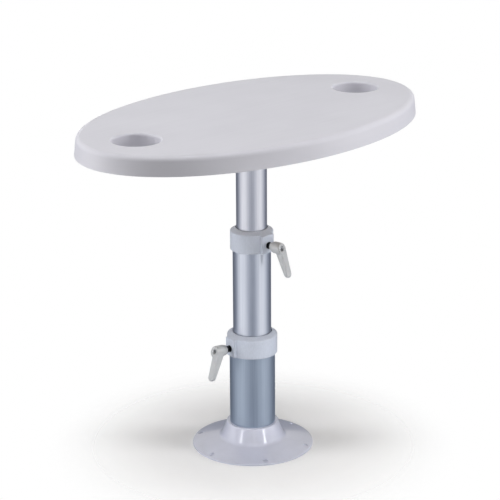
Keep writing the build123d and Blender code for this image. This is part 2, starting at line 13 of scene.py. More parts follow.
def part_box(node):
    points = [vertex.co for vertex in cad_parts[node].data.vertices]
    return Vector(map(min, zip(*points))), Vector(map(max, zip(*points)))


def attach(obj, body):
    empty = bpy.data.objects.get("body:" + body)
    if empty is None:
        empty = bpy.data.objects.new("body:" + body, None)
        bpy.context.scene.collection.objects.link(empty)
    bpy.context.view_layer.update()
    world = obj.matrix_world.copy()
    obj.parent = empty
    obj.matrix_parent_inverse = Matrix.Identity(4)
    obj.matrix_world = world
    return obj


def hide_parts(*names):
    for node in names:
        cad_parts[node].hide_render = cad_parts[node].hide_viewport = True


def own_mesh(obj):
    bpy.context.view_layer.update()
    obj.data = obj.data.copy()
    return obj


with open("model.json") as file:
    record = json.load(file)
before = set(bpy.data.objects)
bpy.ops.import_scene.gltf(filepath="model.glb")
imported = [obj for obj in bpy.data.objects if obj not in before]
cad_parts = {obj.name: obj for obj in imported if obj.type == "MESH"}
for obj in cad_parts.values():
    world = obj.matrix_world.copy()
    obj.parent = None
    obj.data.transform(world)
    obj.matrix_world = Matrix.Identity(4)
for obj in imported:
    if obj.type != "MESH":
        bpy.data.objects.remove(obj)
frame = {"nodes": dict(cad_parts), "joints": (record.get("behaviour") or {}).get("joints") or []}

LOG = logging.getLogger("camper_table")
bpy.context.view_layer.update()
MM = 0.001

Tree = bpy.types.NodeTree
Node = bpy.types.Node
Socket = bpy.types.NodeSocket
Sides = tuple[float, float, float]

# The sRGB curve: a straight foot below the knee and a power above it.
SRGB_KNEE = 0.04045
SRGB_SLOPE = 12.92
SRGB_OFFSET = 0.055
SRGB_POWER = 2.4
# The sockets of a Mix node share their names, so they go by number.
MIX_FACTOR = 0
FLOAT_A, FLOAT_B, FLOAT_RESULT = 2, 3, 0
COLOUR_A, COLOUR_B, COLOUR_RESULT = 6, 7, 2
# Most of a noise lies in this range.
NOISE_LOW, NOISE_HIGH = 0.3, 0.7
# Radians that a wave texture of scale 1 runs through in a metre.
WAVE_RADIANS = 20.0
# Points closer than this, in metres, are one; edges up to this angle, in degrees, are smooth.
MERGE_DISTANCE = 1e-6
SMOOTH_ANGLE = 35.0


class Stage(Enum):
    """The two telescopic stages of the pole, named as the nodes are."""

    LOWER = "lower"
    UPPER = "upper"


def srgb(code: str) -> tuple[float, float, float, float]:
    """Turn an sRGB hex colour into linear values.

    Args:
        code: Six hex digits.

    Returns:
        Linear red, green and blue, and an alpha of 1.
    """
    linear = []
    for start in (0, 2, 4):
        share = int(code[start : start + 2], 16) / 255
        if share <= SRGB_KNEE:
            linear.append(share / SRGB_SLOPE)
        else:
            linear.append(((share + SRGB_OFFSET) / (1 + SRGB_OFFSET)) ** SRGB_POWER)
    return (linear[0], linear[1], linear[2], 1.0)


def wave_scale(period_mm: float) -> float:
    """Return the scale at which a wave texture repeats every so many millimetres."""
    return math.tau / (WAVE_RADIANS * period_mm * MM)


def bare_tree(owner: bpy.types.ID) -> Tree:
    """Turn on the node tree of a material or world and empty it.

    Args:
        owner: The material or world.

    Returns:
        Its node tree, without nodes.
    """
    owner.use_nodes = True
    owner.node_tree.nodes.clear()
    return owner.node_tree


def add_node(tree: Tree, kind: str, inputs: dict[Any, Any] | None = None, **settings: Any) -> Node:
    """Add a node to a tree with its settings, values and links.

    Args:
        tree: The tree that gets the node.
        kind: Blender's identifier of the node type.
        inputs: Socket name or number, to a value or to the output that feeds it.
        settings: Properties of the node itself.

    Returns:
        The new node.
    """
    node = tree.nodes.new(kind)
    for name, value in settings.items():
        setattr(node, name, value)
    for key, value in (inputs or {}).items():
        if isinstance(value, bpy.types.NodeSocket):
            tree.links.new(value, node.inputs[key])
        else:
            node.inputs[key].default_value = value
    return node


@dataclass(frozen=True)
class Finish:
    """A surface finish. Each kind draws what the eye sees of its material."""

    name: str
    colour: str
    roughness: float
    metallic: float = 0.0
    ior: float = 1.5
    coat: float = 0.0
    coat_roughness: float = 0.1

    def material(self) -> bpy.types.Material:
        """Make the material of this finish on first use.

        Returns:
            The material, the same one each time.
        """
        made = bpy.data.materials.get(self.name)
        if made is None:
            made = bpy.data.materials.new(self.name)
            tree = bare_tree(made)
            values = {
                "Base Color": srgb(self.colour),
                "Roughness": self.roughness,
                "Metallic": self.metallic,
                "IOR": self.ior,
                "Coat Weight": self.coat,
                "Coat Roughness": self.coat_roughness,
            }
            shader = add_node(tree, "ShaderNodeBsdfPrincipled", values)
            add_node(tree, "ShaderNodeOutputMaterial", {"Surface": shader.outputs["BSDF"]})
            place = add_node(tree, "ShaderNodeTexCoord").outputs["Object"]
            self.draw(tree, shader, place)
        return made

    def draw(self, tree: Tree, shader: Node, place: Socket) -> None:
        """Draw the pattern of the finish.

        Args:
            tree: The material's node tree.
            shader: Its surface shader.
            place: Coordinates on the piece, in metres.
        """
        raise NotImplementedError

    def grain(self, tree: Tree, place: Socket, size_mm: Sides, detail: float = 2.0) -> Socket:
        """Lay a soft random grain over the piece.

        Args:
            tree: The material's node tree.
            place: Coordinates on the piece, in metres.
            size_mm: Size of one grain along X, Y and Z.
            detail: How many finer layers it holds.

        Returns:
            The grain's height, from 0 to 1.
        """
        scale = tuple(1 / (MM * side) for side in size_mm)
        mapped = add_node(tree, "ShaderNodeMapping", {"Vector": place, "Scale": scale})
        values = {"Vector": mapped.outputs["Vector"], "Scale": 1.0, "Detail": detail}
        return add_node(tree, "ShaderNodeTexNoise", values).outputs["Fac"]

    def tint(self, tree: Tree, shader: Node, factor: Socket, dark: str, light: str) -> None:
        """Let the colour wander between two tones.

        Args:
            tree: The material's node tree.
            shader: Its surface shader.
            factor: Where the colour is dark, at 0, and light, at 1.
            dark: Hex colour of the dark tone.
            light: Hex colour of the light tone.
        """
        values = {"Value": factor, "From Min": NOISE_LOW, "From Max": NOISE_HIGH}
        spread = add_node(tree, "ShaderNodeMapRange", values).outputs["Result"]
        colours = {MIX_FACTOR: spread, COLOUR_A: srgb(dark), COLOUR_B: srgb(light)}
        tones = add_node(tree, "ShaderNodeMix", colours, data_type="RGBA")
        tree.links.new(tones.outputs[COLOUR_RESULT], shader.inputs["Base Color"])

    def gloss(self, tree: Tree, shader: Node, factor: Socket, spread: float) -> None:
        """Let the roughness wander about its middle value.

        Args:
            tree: The material's node tree.
            shader: Its surface shader.
            factor: Smooth at 0, rough at 1.
            spread: The widest step away from the middle.
        """
        limits = {"To Min": self.roughness - spread, "To Max": self.roughness + spread}
        values = {"Value": factor, "From Min": NOISE_LOW, "From Max": NOISE_HIGH, **limits}
        ranged = add_node(tree, "ShaderNodeMapRange", values)
        tree.links.new(ranged.outputs["Result"], shader.inputs["Roughness"])

    def relief(self, tree: Tree, shader: Node, height: Socket, depth_mm: float) -> None:
        """Raise the surface by a pattern.

        Args:
            tree: The material's node tree.
            shader: Its surface shader.
            height: The pattern, from 0 to 1.
            depth_mm: Depth of the pattern.
        """
        values = {"Height": height, "Distance": depth_mm * MM, "Strength": 1.0}
        bump = add_node(tree, "ShaderNodeBump", values)
        tree.links.new(bump.outputs["Normal"], shader.inputs["Normal"])


@dataclass(frozen=True)
class MouldedAbs(Finish):
    """Moulded ABS: an even satin skin with a spark-eroded grain and faint wipe marks."""

    dark: str = "CBCAD1"
    light: str = "D0CFD6"
    flow_mm: Sides = (160, 110, 60)
    wipe_mm: Sides = (150, 4, 30)
    wipe_gloss: float = 0.05
    # The real grain is near 0.3 mm; it is drawn at 1.8 mm so that it shows in the render.
    pore_mm: Sides = (1.8, 1.8, 1.8)
    pore_depth_mm: float = 0.02

    def draw(self, tree: Tree, shader: Node, place: Socket) -> None:
        """Draw flow tones, wipe marks and grain.

        Args:
            tree: The material's node tree.
            shader: Its surface shader.
            place: Coordinates on the piece, in metres.
        """
        self.tint(tree, shader, self.grain(tree, place, self.flow_mm), self.dark, self.light)
        self.gloss(tree, shader, self.grain(tree, place, self.wipe_mm, detail=3.0), self.wipe_gloss)
        self.relief(tree, shader, self.grain(tree, place, self.pore_mm), self.pore_depth_mm)


@dataclass(frozen=True)
class AnodisedExtrusion(Finish):
    """Anodised aluminium tube: metal with fine die lines along its length and dull handling marks."""

    dark: str = "D0D2DB"
    light: str = "DFE0E9"
    # Die lines are near 0.2 mm wide; they are drawn at 1.4 mm so that they show in the render.
    line_mm: Sides = (1.4, 1.4, 260)
    line_depth_mm: float = 0.006
    mark_mm: Sides = (24, 24, 60)
    mark_gloss: float = 0.02

    def draw(self, tree: Tree, shader: Node, place: Socket) -> None:
        """Draw die lines and handling marks.

        Args:
            tree: The material's node tree.
            shader: Its surface shader.
            place: Coordinates on the piece, in metres.
        """
        lines = self.grain(tree, place, self.line_mm, detail=3.0)
        self.tint(tree, shader, lines, self.dark, self.light)
        self.gloss(tree, shader, self.grain(tree, place, self.mark_mm), self.mark_gloss)
        self.relief(tree, shader, lines, self.line_depth_mm)


@dataclass(frozen=True)
class CoatedCasting(Finish):
    """Powder-coated aluminium casting: a glossy skin with a slight orange peel."""

    dark: str = "B9BBCA"
    light: str = "C1C3D2"
    cloud_mm: Sides = (40, 40, 25)
    scuff_mm: Sides = (30, 30, 30)
    scuff_gloss: float = 0.02
    peel_mm: Sides = (3.2, 3.2, 3.2)
    peel_depth_mm: float = 0.006

    def draw(self, tree: Tree, shader: Node, place: Socket) -> None:
        """Draw uneven coat, scuffs and orange peel.

        Args:
            tree: The material's node tree.
            shader: Its surface shader.
            place: Coordinates on the piece, in metres.
        """
        self.tint(tree, shader, self.grain(tree, place, self.cloud_mm, detail=3.0), self.dark, self.light)
        self.gloss(tree, shader, self.grain(tree, place, self.scuff_mm), self.scuff_gloss)
        self.relief(tree, shader, self.grain(tree, place, self.peel_mm, detail=1.0), self.peel_depth_mm)


@dataclass(frozen=True)
class FilledNylon(Finish):
    """Glass-filled nylon moulding: dull, with pale fibre specks in the skin."""

    dark: str = "B0B6C3"
    light: str = "B8BECB"
    # Fibres are under 0.5 mm long; their specks are drawn at 2 to 5 mm so that they show in the render.
    speck_mm: Sides = (2.2, 2.2, 5.0)
    dull_mm: Sides = (14, 14, 14)
    dull_gloss: float = 0.06
    # The skin's grain is near 0.2 mm; it is drawn at 1.3 mm so that it shows in the render.
    pore_mm: Sides = (1.3, 1.3, 1.3)
    pore_depth_mm: float = 0.02

    def draw(self, tree: Tree, shader: Node, place: Socket) -> None:
        """Draw fibre specks, dull places and a fine grain.

        Args:
            tree: The material's node tree.
            shader: Its surface shader.
            place: Coordinates on the piece, in metres.
        """
        self.tint(tree, shader, self.grain(tree, place, self.speck_mm, detail=4.0), self.dark, self.light)
        self.gloss(tree, shader, self.grain(tree, place, self.dull_mm), self.dull_gloss)
        self.relief(tree, shader, self.grain(tree, place, self.pore_mm), self.pore_depth_mm)


@dataclass(frozen=True)
class SilverCoat(Finish):
    """Silver-grey coat on a zinc casting: small metal flakes under a satin lacquer."""

    dark: str = "AAACAF"
    light: str = "B4B6B8"
    # Flakes are near 0.1 mm; they are drawn at 0.9 mm so that they show in the render.
    flake_mm: float = 0.9
    lacquer_mm: Sides = (6, 6, 6)
    lacquer_gloss: float = 0.05
    peel_mm: Sides = (2.4, 2.4, 2.4)
    peel_depth_mm: float = 0.015

    def draw(self, tree: Tree, shader: Node, place: Socket) -> None:
        """Draw flakes and a soft peel.

        Args:
            tree: The material's node tree.
            shader: Its surface shader.
            place: Coordinates on the piece, in metres.
        """
        scale = tuple(1 / (MM * self.flake_mm) for _ in range(3))
        mapped = add_node(tree, "ShaderNodeMapping", {"Vector": place, "Scale": scale})
        values = {"Vector": mapped.outputs["Vector"], "Scale": 1.0}
        flakes = add_node(tree, "ShaderNodeTexVoronoi", values)
        self.tint(tree, shader, flakes.outputs["Distance"], self.dark, self.light)
        self.gloss(tree, shader, self.grain(tree, place, self.lacquer_mm), self.lacquer_gloss)
        self.relief(tree, shader, self.grain(tree, place, self.peel_mm), self.peel_depth_mm)


@dataclass(frozen=True)
class TurnedSteel(Finish):
    """Turned or rolled steel, blackened or zinc-plated: metal with a cloudy film."""

    dark: str = "202124"
    light: str = "33353A"
    film_mm: Sides = (5, 5, 5)
    dull_mm: Sides = (2, 2, 2)
    dull_gloss: float = 0.07
    # Tool marks are near 0.1 mm; they are drawn at 0.9 mm so that they show in the render.
    mark_mm: Sides = (0.9, 0.9, 0.9)
    mark_depth_mm: float = 0.008

    def draw(self, tree: Tree, shader: Node, place: Socket) -> None:
        """Draw the cloudy film and tool marks.

        Args:
            tree: The material's node tree.
            shader: Its surface shader.
            place: Coordinates on the piece, in metres.
        """
        self.tint(tree, shader, self.grain(tree, place, self.film_mm, detail=3.0), self.dark, self.light)
        self.gloss(tree, shader, self.grain(tree, place, self.dull_mm, detail=3.0), self.dull_gloss)
        self.relief(tree, shader, self.grain(tree, place, self.mark_mm), self.mark_depth_mm)


@dataclass(frozen=True)
class TurnedPolymer(Finish):
    """Acetal or nylon turned from bar: a waxy skin with close tool rings."""

    dark: str = "2A2C30"
    light: str = "35373C"
    cloud_mm: Sides = (12, 12, 12)
    # Tool rings are near 0.15 mm apart; they are drawn at 0.8 mm so that they show in the render.
    ring_mm: float = 0.8
    ring_wander: float = 0.6
    ring_gloss: float = 0.06
    ring_depth_mm: float = 0.012

    def draw(self, tree: Tree, shader: Node, place: Socket) -> None:
        """Draw tool rings and a cloudy tone.

        Args:
            tree: The material's node tree.
            shader: Its surface shader.
            place: Coordinates on the piece, in metres.
        """
        self.tint(tree, shader, self.grain(tree, place, self.cloud_mm), self.dark, self.light)
        values = {"Vector": place, "Scale": wave_scale(self.ring_mm), "Distortion": self.ring_wander}
        rings = add_node(tree, "ShaderNodeTexWave", values, bands_direction="Z").outputs["Fac"]
        self.gloss(tree, shader, rings, self.ring_gloss)
        self.relief(tree, shader, rings, self.ring_depth_mm)


@dataclass(frozen=True)
class BirchPlywood(Finish):
    """Sealed birch plywood: pale long grain on the faces, thin light and dark plies on the edge.

    Where the normal's upright share is below edge_low the surface is edge, above edge_high it is face.
    """

    dark: str = "A98A5E"
    light: str = "C9AC80"
    fibre_mm: Sides = (120, 5, 5)
    fibre_gloss: float = 0.08
    fibre_depth_mm: float = 0.03
    ply_mm: float = 3.0
    ply_wander: float = 0.4
    edge_low: float = 0.4
    edge_high: float = 0.6

    def draw(self, tree: Tree, shader: Node, place: Socket) -> None:
        """Draw grain on the faces and plies on the edges.

        Args:
            tree: The material's node tree.
            shader: Its surface shader.
            place: Coordinates on the piece, in metres.
        """
        face = self.grain(tree, place, self.fibre_mm, detail=4.0)
        values = {"Vector": place, "Scale": wave_scale(self.ply_mm), "Distortion": self.ply_wander}
        plies = add_node(tree, "ShaderNodeTexWave", values, bands_direction="Z").outputs["Fac"]
        normal = add_node(tree, "ShaderNodeNewGeometry").outputs["Normal"]
        upright = add_node(tree, "ShaderNodeSeparateXYZ", {0: normal}).outputs["Z"]
        flat = add_node(tree, "ShaderNodeMath", {0: upright}, operation="ABSOLUTE").outputs["Value"]
        limits = {"From Min": self.edge_low, "From Max": self.edge_high, "To Min": 1.0, "To Max": 0.0}
        side = add_node(tree, "ShaderNodeMapRange", {"Value": flat, **limits}).outputs["Result"]
        shares = {MIX_FACTOR: side, FLOAT_A: face, FLOAT_B: plies}
        mixed = add_node(tree, "ShaderNodeMix", shares, data_type="FLOAT")
        self.tint(tree, shader, mixed.outputs[FLOAT_RESULT], self.dark, self.light)
        self.gloss(tree, shader, face, self.fibre_gloss)
        self.relief(tree, shader, face, self.fibre_depth_mm)


@dataclass(frozen=True)
class PaleFloor(Finish):
    """A plain pale studio floor with a barely uneven tone."""

    dark: str = "F7F7F8"
    light: str = "FCFCFC"
    cloud_mm: Sides = (700, 700, 700)

    def draw(self, tree: Tree, shader: Node, place: Socket) -> None:
        """Draw a faint tone."""
        self.tint(tree, shader, self.grain(tree, place, self.cloud_mm), self.dark, self.light)


TABLE_ABS = MouldedAbs("Moulded_ABS", "CECDD4", roughness=0.42, ior=1.54)
# The three tubes share one anodised finish; their colours are painted light and shade as their reflections
# differ: the upper tube is painted lighter, the middle and lower tubes darker and bluer.
UPPER_ALLOY_PAINTED_LIGHT = AnodisedExtrusion("Anodised_tube_upper_painted_light", "D9DAE3", roughness=0.31, metallic=1.0)
MIDDLE_ALLOY_PAINTED_SHADE = AnodisedExtrusion(
    "Anodised_tube_middle_painted_shade", "CFD4DF", roughness=0.31, metallic=1.0, dark="C6CBD8", light="D6DBE6"
)
LOWER_ALLOY_PAINTED_SHADE = AnodisedExtrusion(
    "Anodised_tube_lower_painted_shade", "A7B3C4", roughness=0.48, metallic=1.0, dark="9FABBD", light="AFBBCB"
)
BASE_COAT = CoatedCasting("Coated_casting", "BDBFCE", roughness=0.3, coat=0.7)
COLLAR_NYLON = FilledNylon("Filled_nylon", "B4BAC7", roughness=0.46)
LEVER_COAT = SilverCoat("Silver_coat", "AFB1B4", roughness=0.42, metallic=0.3)
BLACK_STEEL = TurnedSteel("Blackened_steel", "2A2B2E", roughness=0.38, metallic=1.0)
ZINC_STEEL = TurnedSteel(
    "Zinc_plated_steel", "AEB0B4", roughness=0.32, metallic=1.0, dark="A2A4A8", light="BBBDC1"
)
ACETAL = TurnedPolymer("Dark_acetal", "303236", roughness=0.36)
PAD_NYLON = TurnedPolymer("Natural_nylon", "D9D5C8", roughness=0.5, dark="D0CCBE", light="DFDBCF")
PLYWOOD = BirchPlywood("Birch_plywood", "B99B6E", roughness=0.45)
FLOOR = PaleFloor("Pale_floor", "FAFAFA", roughness=0.9)


def dress(node: str, finish: Finish) -> None:
    """Give a CAD node its finish.

    Args:
        node: Name of the node.
        finish: What it is made of.
    """
    for place in frame["nodes"][node].material_slots:
        place.material = finish.material()
    LOG.info("%s: %s", node, finish.name)


def new_tree(name: str, sizes: tuple[str, ...]) -> tuple[Tree, Node]:
    """Start a geometry tree with named inputs for its sizes and its finish.

    Args:
        name: Name of the tree.
        sizes: Names of the inputs for its sizes.

    Returns:
        The tree and its group input node.
    """
    tree = bpy.data.node_groups.new(name, "GeometryNodeTree")
    sockets = {"Geometry": "NodeSocketGeometry"}
    sockets.update({label: "NodeSocketFloat" for label in sizes})
    sockets["Finish"] = "NodeSocketMaterial"
    for label, kind in sockets.items():
        tree.interface.new_socket(label, in_out="INPUT", socket_type=kind)
    tree.interface.new_socket("Geometry", in_out="OUTPUT", socket_type="NodeSocketGeometry")
    return tree, add_node(tree, "NodeGroupInput")


def close_tree(tree: Tree, start: Node, made: Socket) -> None:
    """End a geometry tree: make its instances real and give them the finish.

    Args:
        tree: The tree.
        start: Its group input node.
        made: The geometry that it has made.
    """
    solid = add_node(tree, "GeometryNodeRealizeInstances", {"Geometry": made})
    values = {"Geometry": solid.outputs["Geometry"], "Material": start.outputs["Finish"]}
    painted = add_node(tree, "GeometryNodeSetMaterial", values)
    add_node(tree, "NodeGroupOutput", {0: painted.outputs["Geometry"]})


def run_tree(tree: Tree, values: dict[str, Any], name: str, points: list[Vector]) -> bpy.types.Object:
    """Run a geometry tree over points and keep its result as a plain mesh.

    Args:
        tree: The tree, with named inputs.
        values: Input name to value.
        name: Name of the new piece.
        points: Places that the tree starts from.

    Returns:
        The new object, at the origin, with no modifier.
    """
    seed = bpy.data.meshes.new(name + "_points")
    seed.from_pydata([tuple(point) for point in points], [], [])
    piece = bpy.data.objects.new(name, seed)
    bpy.context.scene.collection.objects.link(piece)
    modifier = piece.modifiers.new("Tree", "NODES")
    modifier.node_group = tree
    for item in tree.interface.items_tree:
        if item.in_out == "INPUT" and item.name in values:
            modifier[item.identifier] = values[item.name]
    bpy.context.view_layer.update()
    graph = bpy.context.evaluated_depsgraph_get()
    made = bpy.data.meshes.new_from_object(piece.evaluated_get(graph), depsgraph=graph)
    piece.modifiers.remove(modifier)
    piece.data = made
    made.name = name
    clean_normals(made)
    return piece


def clean_normals(mesh: bpy.types.Mesh) -> None:
    """Merge doubles, turn all faces outwards and shade the gentle edges smooth.

    Args:
        mesh: The mesh, changed in place.
    """
    work = bmesh.new()
    work.from_mesh(mesh)
    bmesh.ops.remove_doubles(work, verts=work.verts, dist=MERGE_DISTANCE)
    bmesh.ops.recalc_face_normals(work, faces=work.faces)
    work.to_mesh(mesh)
    work.free()
    mesh.shade_smooth()
    mesh.set_sharp_from_angle(angle=math.radians(SMOOTH_ANGLE))


@dataclass(frozen=True)
class SunkScrew:
    """A countersunk wood screw with a hexagon drive and a rolled thread, in millimetres."""

    head_d: float
    shank_d: float
    length: float
    pitch: float = 1.6
    tip_r: float = 0.4
    drive_share: float = 0.45
    drive_depth: float = 1.6
    ridge_share: float = 0.2
    head_sides: int = 32
    shank_sides: int = 24
    drive_sides: int = 6
    ridge_sides: int = 4
    turn_steps: int = 20

    def tree(self) -> Tree:
        """Build the tree that sets one screw, head down, at every point.

        Returns:
            A tree with the screw's sizes and its finish as inputs.
        """
        lengths = ("Length", "Pitch", "Drive Height")
        tree, start = new_tree(
            "Sunk_screws", ("Head Radius", "Shank Radius", "Tip Radius", "Drive Radius", *lengths)
        )
        head_r, shank_r, tip_r = (start.outputs[f"{part} Radius"] for part in ("Head", "Shank", "Tip"))
        length, pitch, drive_height = (start.outputs[label] for label in lengths)
        cone = add_node(tree, "ShaderNodeMath", {0: head_r, 1: shank_r}, operation="SUBTRACT").outputs[0]
        head = add_node(
            tree,
            "GeometryNodeMeshCone",
            {"Vertices": self.head_sides, "Radius Top": shank_r, "Radius Bottom": head_r, "Depth": cone},
        )
        drive = add_node(
            tree,
            "GeometryNodeMeshCylinder",
            {"Vertices": self.drive_sides, "Radius": start.outputs["Drive Radius"], "Depth": drive_height},
        )
        cut = add_node(
            tree,
            "GeometryNodeMeshBoolean",
            {"Mesh 1": head.outputs["Mesh"], "Mesh 2": drive.outputs["Mesh"]},
            operation="DIFFERENCE",
        )
        body = add_node(tree, "ShaderNodeMath", {0: length, 1: cone}, operation="SUBTRACT").outputs[0]
        shank = add_node(
            tree,
            "GeometryNodeMeshCone",
            {"Vertices": self.shank_sides, "Radius Top": tip_r, "Radius Bottom": shank_r, "Depth": body},
        )
        turns = add_node(tree, "ShaderNodeMath", {0: body, 1: pitch}, operation="DIVIDE").outputs[0]
        path = add_node(
            tree,
            "GeometryNodeCurveSpiral",
            {
                "Resolution": self.turn_steps,
                "Rotations": turns,
                "Start Radius": shank_r,
                "End Radius": tip_r,
                "Height": body,
            },
        )
        edge = add_node(tree, "ShaderNodeMath", {0: pitch, 1: self.ridge_share}, operation="MULTIPLY")
        ridge = add_node(
            tree,
            "GeometryNodeCurvePrimitiveCircle",
            {"Resolution": self.ridge_sides, "Radius": edge.outputs[0]},
        )
        thread = add_node(
            tree,
            "GeometryNodeCurveToMesh",
            {"Curve": path.outputs["Curve"], "Profile Curve": ridge.outputs["Curve"], "Fill Caps": True},
        )
        lower = add_node(tree, "GeometryNodeJoinGeometry", {"Geometry": shank.outputs["Mesh"]})
        tree.links.new(thread.outputs["Mesh"], lower.inputs["Geometry"])
        lift = add_node(tree, "ShaderNodeCombineXYZ", {"Z": cone}).outputs[0]
        moved = add_node(tree, "GeometryNodeTransform", {"Geometry": lower.outputs[0], "Translation": lift})
        screw = add_node(tree, "GeometryNodeJoinGeometry", {"Geometry": cut.outputs["Mesh"]})
        tree.links.new(moved.outputs["Geometry"], screw.inputs["Geometry"])
        spread = add_node(
            tree,
            "GeometryNodeInstanceOnPoints",
            {"Points": start.outputs["Geometry"], "Instance": screw.outputs["Geometry"]},
        )
        close_tree(tree, start, spread.outputs["Instances"])
        return tree

    def build(self, name: str, places: list[Vector], finish: Finish) -> bpy.types.Object:
        """Set the screws at their places.

        Args:
            name: Name of the new piece.
            places: Centre of each head's flat face.
            finish: What the screws are made of.

        Returns:
            The screws as one piece.
        """
        values = {
            "Head Radius": self.head_d * MM / 2,
            "Shank Radius": self.shank_d * MM / 2,
            "Tip Radius": self.tip_r * MM,
            "Drive Radius": self.drive_share * self.shank_d * MM,
            "Length": self.length * MM,
            "Pitch": self.pitch * MM,
            # The drive's prism is centred on the head's face, so half of it cuts.
            "Drive Height": 2 * self.drive_depth * MM,
            "Finish": finish.material(),
        }
        return run_tree(self.tree(), values, name, places)


@dataclass(frozen=True)
class CoilSpring:
    """A round-wire compression spring, in millimetres."""

    radius: float = 3.5
    wire: float = 0.8
    height: float = 9.1
    turns: float = 4.0
    turn_steps: int = 36
    wire_sides: int = 12

    def tree(self) -> Tree:
        """Build the tree that winds the wire.

        Returns:
            A tree with the spring's sizes and its finish as inputs.
        """
        tree, start = new_tree("Lever_spring", ("Radius", "Wire Radius", "Height", "Turns"))
        path = add_node(
            tree,
            "GeometryNodeCurveSpiral",
            {
                "Resolution": self.turn_steps,
                "Rotations": start.outputs["Turns"],
                "Start Radius": start.outputs["Radius"],
                "End Radius": start.outputs["Radius"],
                "Height": start.outputs["Height"],
            },
        )
        section = add_node(
            tree,
            "GeometryNodeCurvePrimitiveCircle",
            {"Resolution": self.wire_sides, "Radius": start.outputs["Wire Radius"]},
        )
        wound = add_node(
            tree,
            "GeometryNodeCurveToMesh",
            {"Curve": path.outputs["Curve"], "Profile Curve": section.outputs["Curve"], "Fill Caps": True},
        )
        close_tree(tree, start, wound.outputs["Mesh"])
        return tree

    def build(self, name: str, seat: Matrix, finish: Finish) -> bpy.types.Object:
        """Wind the spring and put it in its seat.

        Args:
            name: Name of the new piece.
            seat: Place and direction of the spring's first end.
            finish: What the wire is made of.

        Returns:
            The spring, with its place in its mesh.
        """
        values = {
            "Radius": self.radius * MM,
            "Wire Radius": self.wire * MM / 2,
            "Height": self.height * MM,
            "Turns": self.turns,
            "Finish": finish.material(),
        }
        spring = run_tree(self.tree(), values, name, [Vector((0, 0, 0))])
        spring.data.transform(seat)
        return spring


@dataclass
class TablePlate:
    """The oval top, the board under it, the bracket and their screws, in millimetres."""

    length: float = 776.0
    width: float = 466.0
    board_screw_inset: float = 38.0
    board_screw_count: int = 8
    bracket_screw_circle: float = 140.0
    bracket_screw_count: int = 6
    board_screw: SunkScrew = SunkScrew(head_d=8.0, shank_d=4.0, length=22.0)
    bracket_screw: SunkScrew = SunkScrew(head_d=9.0, shank_d=4.5, length=15.0)

    def build(self) -> None:
        """Make the screws and dress every piece of the top."""
        dress("table_top", TABLE_ABS)
        dress("table_board", PLYWOOD)
        dress("top_bracket", BASE_COAT)
        dress("pole_head_screws", BLACK_STEEL)
        self.add_screws("table_board_screws", self.board_screw, self.board_places())
        self.add_screws("top_bracket_screws", self.bracket_screw, self.bracket_places())

    def board_places(self) -> list[Vector]:
        """Find where the board's screws sit: on an oval inside the rim, half a step off the long axis.

        Returns:
            One place for each screw, on the board's lower face.
        """
        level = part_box("table_board_screws")[0].z
        half_x = (self.length / 2 - self.board_screw_inset) * MM
        half_y = (self.width / 2 - self.board_screw_inset) * MM
        turns = [math.tau * (i + 0.5) / self.board_screw_count for i in range(self.board_screw_count)]
        return [Vector((half_x * math.cos(t), half_y * math.sin(t), level)) for t in turns]

    def bracket_places(self) -> list[Vector]:
        """Find where the bracket's screws sit: on a circle round the pole.

        Returns:
            One place for each screw, on the bracket's lower face.
        """
        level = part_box("top_bracket_screws")[0].z
        radius = self.bracket_screw_circle * MM / 2
        turns = [math.tau * i / self.bracket_screw_count for i in range(self.bracket_screw_count)]
        return [Vector((radius * math.cos(t), radius * math.sin(t), level)) for t in turns]

    def add_screws(self, node: str, screw: SunkScrew, places: list[Vector]) -> None:
        """Put detailed screws in place of a CAD node.

        Args:
            node: The node that they stand for.
            screw: Their sizes.
            places: Centre of each head's flat face.
        """
        piece = screw.build(node + "_detailed", places, ZINC_STEEL)
        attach(piece, "top")
        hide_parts(node)
        LOG.info("%s: %d screws", node, len(places))


@dataclass
class Pole:
    """The three tubes with their foot bushes and guide sleeves."""

    def build(self) -> None:
        """Dress the tubes and the pieces that guide them."""
        dress("lower_tube", LOWER_ALLOY_PAINTED_SHADE)
        dress("middle_tube", MIDDLE_ALLOY_PAINTED_SHADE)
        dress("upper_tube", UPPER_ALLOY_PAINTED_LIGHT)
        for node in ("middle_foot_bush", "upper_foot_bush", "lower_guide_sleeve", "upper_guide_sleeve"):
            dress(node, ACETAL)


@dataclass
class Clamp:
    """One clamp: collar, bush, pad, screw, lever and spring.

    The spring's ends are given in millimetres from the lever's joint, out along its axis.
    """

    stage: Stage
    spring: CoilSpring = CoilSpring()
    spring_start: float = 20.85
    spring_end: float = 30.4
    spring_keep: float = 0.55

    def build(self) -> None:
        """Dress the clamp and wind its spring."""
        name = self.stage.value
        dress(f"{name}_collar", COLLAR_NYLON)
        dress(f"{name}_lever_handle", LEVER_COAT)
        dress(f"{name}_pressure_pad", PAD_NYLON)
        dress(f"{name}_lever_screw", ZINC_STEEL)
        for piece in ("threaded_bush", "clamp_screw"):
            dress(f"{name}_{piece}", BLACK_STEEL)
        self.add_spring()

    def add_spring(self) -> None:
        """Wind the spring between the lever's web and the screw's head."""
        name = self.stage.value
        turn = next(joint for joint in frame["joints"] if joint["name"] == f"{name}_lever_turn")
        axis, origin = Vector(turn["axis"]), Vector(turn["pos_m"])
        seat = Matrix.Translation(origin + axis * self.spring_start * MM)
        seat = seat @ axis.to_track_quat("Z", "Y").to_matrix().to_4x4()
        piece = self.spring.build(f"{name}_lever_spring_wound", seat, ZINC_STEEL)
        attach(piece, f"{name}_screw")
        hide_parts(f"{name}_lever_spring")
        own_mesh(piece)
        LOG.info("%s: wound", piece.name)


@dataclass
class FloorBase:
    """The cast base that screws to the floor."""

    def build(self) -> None:
        """Dress the casting."""
        dress("base_flange", BASE_COAT)


